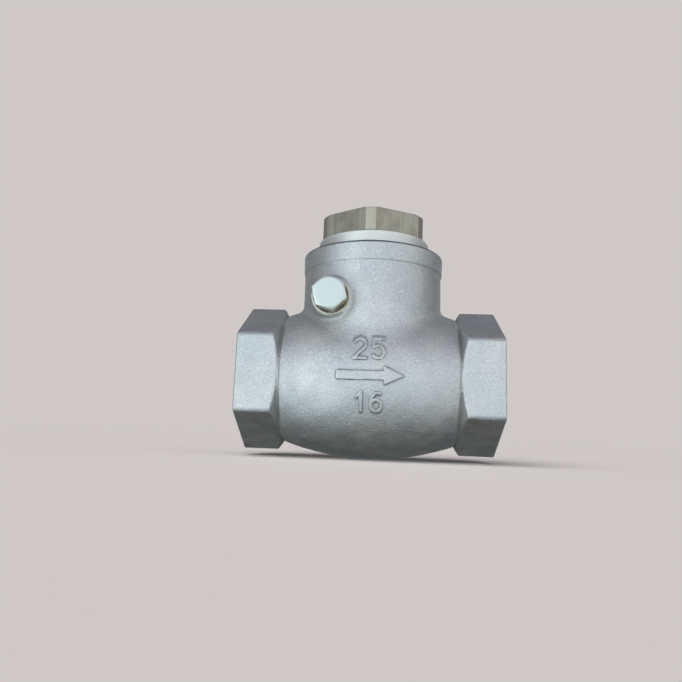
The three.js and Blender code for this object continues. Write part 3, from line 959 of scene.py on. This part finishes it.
def cap_distance(x, y, z):
    turn_x = x * math.cos(CAP_TURN) + y * math.sin(CAP_TURN)
    turn_y = -x * math.sin(CAP_TURN) + y * math.cos(CAP_TURN)
    radius = np.hypot(x, y)
    seat = GASKET_HIGH[2] + CAP_GAP
    head = both(hexagon(turn_x, turn_y, CAP_FLATS), radius - CAP_CORNERS)
    head = both(head, np.maximum(seat - z, z - CAP_HIGH[2]))
    head = both(head, turned_chamfer(radius, z, CAP_CROWN, CAP_HIGH[2]))
    flange = cylinder(CAP_HIGH[0], radius, z, seat, CAP_FLANGE_TOP, round_off=0.25)
    solid = either(head, flange, fillet=0.3)
    screw = cylinder(CAP_CORE, radius, z, CAP_LOW[2], seat + 1, round_off=0.3)
    solid = either(solid, screw, fillet=0.2)
    recess = cylinder(CAP_RECESS, radius, z, CAP_LOW[2] - 1, CAP_RECESS_TOP, round_off=1)
    return both(solid, -recess, round_off=0.3)


def cap_finish(centres, normals):
    """0 on the hexagon's sides, 2 on its turned corners and 1 on the rest of the cap."""
    x, y, z = centres.T
    corners = np.hypot(x, y) > CAP_CORNERS - 2 * NEAR
    rest = (z < CAP_FLANGE_TOP + NEAR) | (normals[:, 2] > FACING)
    return np.where(rest, 1, np.where(corners, 2, 0))


def add_cap():
    """The cap. Its ridge lies half a pitch from the neck's, so each runs in the other's groove."""
    cap = contoured("screwed_cap", cap_distance, CAP_LOW, CAP_HIGH, 0.22, budget=100000)
    low, high = np.array(CAP_THREAD) + CAP_PITCH / 2
    add_ridge(cap, ABOUT_Z, ORIGIN, CAP_PITCH, low, high, CAP_CREST, CAP_CORE - SUNK)
    paint(cap, cap_finish)
    place(cap, "cap", "machined_brass", "cap", BRUSHED, BRIGHT_CAP, TURNED_CORNERS)


def plug_distance(x, y, z):
    a, b = x - PIN[0], z - PIN[2]
    turn_a = a * math.cos(PLUG_TURN) - b * math.sin(PLUG_TURN)
    turn_b = a * math.sin(PLUG_TURN) + b * math.cos(PLUG_TURN)
    radius = np.hypot(a, b)
    face = -PLUG_LOW[1]
    seat = -PLUG_WASHER_LOW[1]
    bar = hexagon(turn_a, turn_b, PLUG_FLATS, round_off=0.2)
    head = both(bar, np.maximum(seat + y, -y - face), round_off=0.2)
    cone = (radius - PLUG_CROWN) * math.sin(PLUG_CHAMFER) - (y + face) * math.cos(PLUG_CHAMFER)
    head = both(head, cone, round_off=0.1)
    screw = cylinder(PLUG_CORE, radius, -y, -PLUG_HIGH[1], seat + 1, round_off=0.3)
    return either(head, screw, fillet=0.1)


def plug_finish(centres, normals):
    """1 on the sides of the plug's hexagon, 0 on its turned face, chamfer and shank."""
    sides = (np.abs(normals[:, 1]) < FACING) & (centres[:, 1] < PLUG_WASHER_LOW[1])
    return sides.astype(int)


def add_plug():
    plug = contoured("hinge_plug_head", plug_distance, PLUG_LOW, PLUG_HIGH, 0.11, budget=60000)
    high, low = PLUG_PITCH / 2 - np.array(PLUG_THREAD)
    add_ridge(
        plug, ABOUT_Y, PIN_AXIS, PLUG_PITCH, low, high, PLUG_CREST, PLUG_CORE - SUNK, segments=36
    )
    paint(plug, plug_finish)
    place(plug, "plug", "bright_brass", "hinge_plug", BRIGHT_PLUG, BRUSHED)


def turned_piece(name, outline, turn, centre, segments=96, bevel=0.15):
    """A lathe piece: an outline of (radius, along), about an axis given by a turn of +X."""
    vertices, faces = lathe(bevelled(outline, bevel), segments)
    vertices = vertices @ np.array(turn.to_3x3()).T + np.array(centre)
    return make_mesh(name, vertices, faces)


def ring_outline(inner, outer, start, end):
    return [(inner, start), (inner, end), (outer, end), (outer, start)]


def add_gaskets():
    outline = ring_outline(GASKET_INNER, GASKET_HIGH[0], GASKET_LOW[2], GASKET_HIGH[2])
    gasket = turned_piece("cap_joint_ring", outline, ABOUT_Z, ORIGIN)
    place(gasket, "gasket", "gasket_fibre", "cap_gasket", FIBRE)
    radius = (PLUG_WASHER_HIGH[0] - PLUG_WASHER_LOW[0]) / 2
    outline = ring_outline(PLUG_HOLE, radius, PLUG_WASHER_LOW[1], PLUG_WASHER_HIGH[1])
    washer = turned_piece("plug_joint_ring", outline, ABOUT_Y, PIN_AXIS)
    place(washer, "washer", "gasket_fibre", "plug_washer", FIBRE)


def add_pin():
    radius = (PIN_HIGH[0] - PIN_LOW[0]) / 2
    outline = ring_outline(0, radius, PIN_LOW[1], PIN_HIGH[1])
    pin = turned_piece("hinge_pin_rod", outline, ABOUT_Y, PIN_AXIS, segments=64, bevel=0.4)
    place(pin, "valve_body", "pin_steel", "hinge_pin", STEEL)


def arm_distance(x, y, z):
    u, v, w = flap_coordinates(x, y, z)
    from_pin = np.hypot(u, w)
    from_stud = np.hypot(v, w + ARM_LENGTH)
    hub = cylinder(HUB_RADIUS, from_pin, np.abs(v), -1, HUB_HALF, round_off=0.4)
    thickness = np.abs(u - ARM_MIDDLE) - ARM_HALF_THICKNESS
    blade = both(thickness, np.abs(v) - ARM_HALF_WIDTH, round_off=0.6)
    blade = both(blade, np.maximum(w, -w - ARM_LENGTH))
    eye = cylinder(EYE_RADIUS, from_stud, u, EYE_FRONT, EYE_BACK, round_off=0.4)
    solid = either(either(hub, blade, fillet=1.5), eye, fillet=1.2)
    solid = both(solid, STUD_HOLE - from_stud, round_off=0.15)
    return both(solid, PIN_BORE - from_pin, round_off=0.15)


def add_arm():
    low, high = box_mm("hinge_arm")
    arm = contoured("hinge_arm_casting", arm_distance, low, high, 0.25, budget=60000)
    place(arm, "arm", "machined_brass", "hinge_arm", TUMBLED)


def nut_distance(x, y, z):
    u, v, w = flap_coordinates(x, y, z)
    w = w + ARM_LENGTH
    radius = np.hypot(v, w)
    bar = hexagon(v, w, NUT_FLATS, round_off=0.3)
    solid = both(bar, np.maximum(NUT_FRONT - u, u - NUT_BACK), round_off=0.15)
    solid = both(solid, turned_chamfer(radius, u, NUT_CROWN, NUT_BACK), round_off=0.1)
    return both(solid, STUD_HOLE - radius, round_off=0.1)


def screw_distance(x, y, z):
    u, v, w = flap_coordinates(x, y, z)
    radius = np.hypot(v, w + ARM_LENGTH)
    head = cylinder(SCREW_HEAD_RADIUS, radius, u, SCREW_TOP, SCREW_SEAT, round_off=0.5)
    slot = both(np.abs(v) - SLOT_HALF_WIDTH, u - SLOT_BOTTOM)
    shank = cylinder(SCREW_RADIUS, radius, u, SHANK_START, SCREW_TIP)
    return either(both(head, -slot, round_off=0.1), shank)


# The disc's outline runs from the screw's hole round the rim to the stud's end.
DISC_OUTLINE = [
    (0, SCREW_HOLE_END),
    (RETAINER_HOLE, SCREW_HOLE_END),
    (RETAINER_HOLE, DISC_FRONT),
    (DISC_RIM_RADIUS, DISC_FRONT),
    (DISC_RIM_RADIUS, DISC_RIM),
    (DISC_RADIUS, DISC_RIM),
    (DISC_RADIUS, DISC_BACK),
    (STUD_RADIUS, DISC_BACK),
    (STUD_RADIUS, STUD_END),
    (0, STUD_END),
]
SEAL_OUTLINE = ring_outline(SEAL_HOLE, SEAL_RADIUS, SEAL_FRONT, SEAL_BACK)
RETAINER_OUTLINE = ring_outline(RETAINER_HOLE, RETAINER_RADIUS, RETAINER_FRONT, RETAINER_BACK)
WASHER_OUTLINE = ring_outline(STUD_HOLE, WASHER_RADIUS, WASHER_FRONT, WASHER_BACK)


def add_disc_pieces():
    turned = [
        ("disc_plate", "disc", DISC_OUTLINE, 0.35, "machined_brass", TUMBLED),
        ("disc_facing", "disc_seal", SEAL_OUTLINE, 0.25, "seal_rubber", RUBBER),
        ("facing_retainer", "seal_retainer", RETAINER_OUTLINE, 0.3, "machined_brass", MACHINED),
        ("nut_washer", "disc_washer", WASHER_OUTLINE, 0.12, "machined_brass", MACHINED),
    ]
    for name, node, outline, bevel, slot, material in turned:
        thing = turned_piece(name, outline, ABOUT_STUD, STUD, segments=128, bevel=bevel)
        place(thing, "disc", slot, node, material)
    contoured_pieces = [
        ("stud_nut", "disc_nut", nut_distance, "machined_brass", TUMBLED),
        ("facing_screw", "retainer_screw", screw_distance, "pin_steel", STEEL),
    ]
    for name, node, distance, slot, material in contoured_pieces:
        low, high = box_mm(node)
        thing = contoured(name, distance, low, high, 0.12, budget=30000)
        place(thing, "disc", slot, node, material)


add_body()
add_cap()
add_plug()
add_gaskets()
add_pin()
add_arm()
add_disc_pieces()


# ---- floor, lights and surroundings ------------------------------------------

PALE = (0.62, 0.585, 0.575)  # what the camera sees beyond the floor
FLOOR_COLOR = (0.734, 0.690, 0.657)  # looks like PALE in this light, so no horizon shows
FLOOR_HALF = 30.0  # metres


def add_floor():
    """A large plain floor. It takes the object's shadow. The metal doesn't mirror it."""
    mesh = bpy.data.meshes.new("floor")
    height = BODY_LOW[2] * MM
    signs = [(-1, -1), (1, -1), (1, 1), (-1, 1)]
    corners = [(a * FLOOR_HALF, b * FLOOR_HALF, height) for a, b in signs]
    mesh.from_pydata(corners, [], [(0, 1, 2, 3)])
    floor = bpy.data.objects.new("floor", mesh)
    bpy.context.scene.collection.objects.link(floor)
    finish = Finish("floor", FLOOR_COLOR, 0.95, 0.0)
    finish.shader.inputs["Specular IOR Level"].default_value = 0.0
    mesh.materials.append(finish.material)
    floor.visible_glossy = False
    floor.visible_shadow = False


def add_light(name, kind, direction, color):
    """A light at 1 m from the origin along a direction, looking back at it."""
    data = bpy.data.lights.new(name, kind)
    data.color = color
    light = bpy.data.objects.new(name, data)
    bpy.context.scene.collection.objects.link(light)
    away = Vector(direction).normalized()
    light.matrix_world = Matrix.Translation(away) @ away.to_track_quat("Z", "Y").to_matrix().to_4x4()
    light.visible_camera = False
    return light


def add_panel(name, direction, width, height, radiance, color):
    """A soft panel of light, width by height in metres, as bright as radiance. Only gloss shows it."""
    panel = add_light(name, "AREA", direction, color)
    panel.data.shape = "RECTANGLE"
    panel.data.size, panel.data.size_y = width, height
    panel.data.energy = radiance * math.pi * width * height
    panel.visible_diffuse = False


def add_floor_light():
    """Soft daylight from above, for the floor: only matte surfaces take it."""
    sun = add_light("floor_light", "SUN", (-0.3, -0.45, 1), (1, 1, 1))
    sun.data.energy = 2.0
    sun.data.angle = math.radians(60)
    sun.visible_glossy = False


# How bright the surroundings are, from straight down (0) through level (0.5) to straight up (1).
SKY = [
    (0.0, (0.062, 0.059, 0.053)),
    (0.25, (0.135, 0.137, 0.14)),
    (0.5, (0.19, 0.195, 0.205)),
    (0.8, (0.245, 0.245, 0.27)),
    (1.0, (0.20, 0.20, 0.225)),
]
IN_FRONT = 2.2  # factor on that brightness, on the camera's side
BEHIND = 0.34  # factor on the far side

# Name, direction, width, height, radiance and colour of each panel.
PANELS = [
    ("key_left", (-0.63, -0.75, -0.21), 0.65, 1.9, 1.05, (0.80, 0.93, 1.0)),
    ("key_middle", (0.0, -1.0, 0.0), 0.81, 1.25, 0.61, (0.77, 0.92, 1.0)),
    ("key_right", (0.61, -0.76, -0.21), 0.5, 1.9, 0.6, (0.86, 0.93, 1.0)),
    ("right_side", (0.93, -0.3, 0.22), 0.45, 0.8, 0.5, (0.9, 0.95, 1.0)),
    ("right_fill", (0.5, 0.85, 0.3), 0.7, 0.8, 0.2, (0.9, 0.95, 1.0)),
    ("left_fill", (-0.5, 0.85, 0.3), 0.7, 0.8, 0.15, (1.0, 1.0, 1.0)),
]


def add_world():
    """Surroundings that are brighter in front than behind, and pale to the camera."""
    world = bpy.data.worlds.new("surroundings")
    world.use_nodes = True
    tree = world.node_tree
    link = tree.links.new
    seen = tree.nodes["Background"]
    seen.inputs["Color"].default_value = (*PALE, 1)
    around = tree.nodes.new("ShaderNodeBackground")
    direction = tree.nodes.new("ShaderNodeTexCoord")
    split = tree.nodes.new("ShaderNodeSeparateXYZ")
    link(direction.outputs["Generated"], split.inputs["Vector"])
    height = tree.nodes.new("ShaderNodeValToRGB")
    bands = height.color_ramp.elements
    bands.remove(bands[1])
    for share, color in SKY:
        band = bands[0] if share == 0 else bands.new(share)
        band.color = (*color, 1)
    rise = tree.nodes.new("ShaderNodeMapRange")
    rise.inputs["From Min"].default_value = -1
    link(split.outputs["Z"], rise.inputs["Value"])
    link(rise.outputs["Result"], height.inputs["Fac"])
    depth = tree.nodes.new("ShaderNodeMapRange")
    depth.inputs["From Min"].default_value = -1
    depth.inputs["To Min"].default_value = IN_FRONT
    depth.inputs["To Max"].default_value = BEHIND
    link(split.outputs["Y"], depth.inputs["Value"])
    link(height.outputs["Color"], around.inputs["Color"])
    link(depth.outputs["Result"], around.inputs["Strength"])
    rays = tree.nodes.new("ShaderNodeLightPath")
    mix = tree.nodes.new("ShaderNodeMixShader")
    link(rays.outputs["Is Camera Ray"], mix.inputs["Fac"])
    link(around.outputs["Background"], mix.inputs[1])
    link(seen.outputs["Background"], mix.inputs[2])
    link(mix.outputs["Shader"], tree.nodes["World Output"].inputs["Surface"])
    bpy.context.scene.world = world


add_floor()
add_world()
add_floor_light()
for panel in PANELS:
    add_panel(*panel)
bpy.context.scene.view_settings.view_transform = "Standard"
